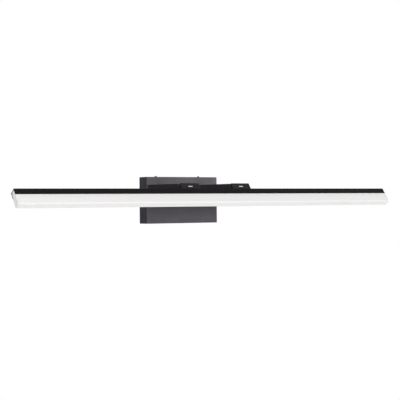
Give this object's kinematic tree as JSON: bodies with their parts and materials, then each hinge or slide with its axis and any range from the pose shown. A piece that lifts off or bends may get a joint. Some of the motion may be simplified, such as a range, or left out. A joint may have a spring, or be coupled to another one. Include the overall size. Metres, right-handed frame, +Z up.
{
  "type": "vanity light bar",
  "caption": "Wall-mounted LED vanity light: a long tilting bar with an opal diffuser, held by arms on a box canopy.",
  "frame": {"origin": "centre of the wall plate's back face, on the wall", "axes": "+X along the bar, +Y into the wall, +Z up"},
  "size_m": [0.9144, 0.1879, 0.1029],
  "materials": {
    "zinc_steel": "zinc plated",
    "black_canopy": "satin powder coat",
    "black_arm": "satin powder coat",
    "black_block": "satin powder coat",
    "black_channel": "satin black anodised",
    "black_screw": "black oxide",
    "bright_screw": "nickel plated",
    "driver_case": "moulded",
    "lever_connector": "moulded",
    "supply_lead": "PVC insulation",
    "white_lead": "PVC insulation",
    "ground_green": "green passivated",
    "ground_green_lead": "PVC insulation",
    "grommet_rubber": "moulded",
    "washer_plastic": "natural nylon",
    "cap_plastic": "moulded black",
    "opal": "opal satin",
    "white_board": "white solder mask",
    "led_phosphor": "phosphor",
    "white_cap": "moulded white"
  },
  "bodies": {
    "mount": {"wall_plate": "zinc_steel", "flange_nuts": "zinc_steel", "canopy": "black_canopy", "canopy_screws": "black_screw", "chassis_plate": "zinc_steel", "left_arm": "black_arm", "right_arm": "black_arm", "arm_screws": "bright_screw", "led_driver": "driver_case", "driver_screws": "bright_screw", "supply_connectors": "lever_connector", "supply_leads": "supply_lead", "ground_screw": "ground_green", "ground_lead": "ground_green_lead", "lead_grommet": "grommet_rubber", "arm_lead": "white_lead", "left_pivot_bolt": "bright_screw", "right_pivot_bolt": "bright_screw", "pivot_nuts": "bright_screw", "disc_springs": "bright_screw", "friction_washers": "washer_plastic", "bolt_caps": "cap_plastic"},
    "bar": {"left_pivot_block": "black_block", "right_pivot_block": "black_block", "pivot_bushes": "washer_plastic", "block_screws": "bright_screw", "nut_plates": "bright_screw", "bar_housing": "black_channel", "diffuser": "opal", "led_board": "white_board", "leds": "led_phosphor", "led_connector": "washer_plastic", "bar_lead": "white_lead", "left_end_cap": "white_cap", "right_end_cap": "white_cap", "end_cap_screws": "bright_screw"}
  },
  "joints": [
    {"name": "bar_tilt", "type": "hinge", "parent": "mount", "child": "bar", "pos_m": [0, -0.1482, 0.0232], "axis": [1, 0, 0], "range_deg": [-53, 37]}
  ]
}
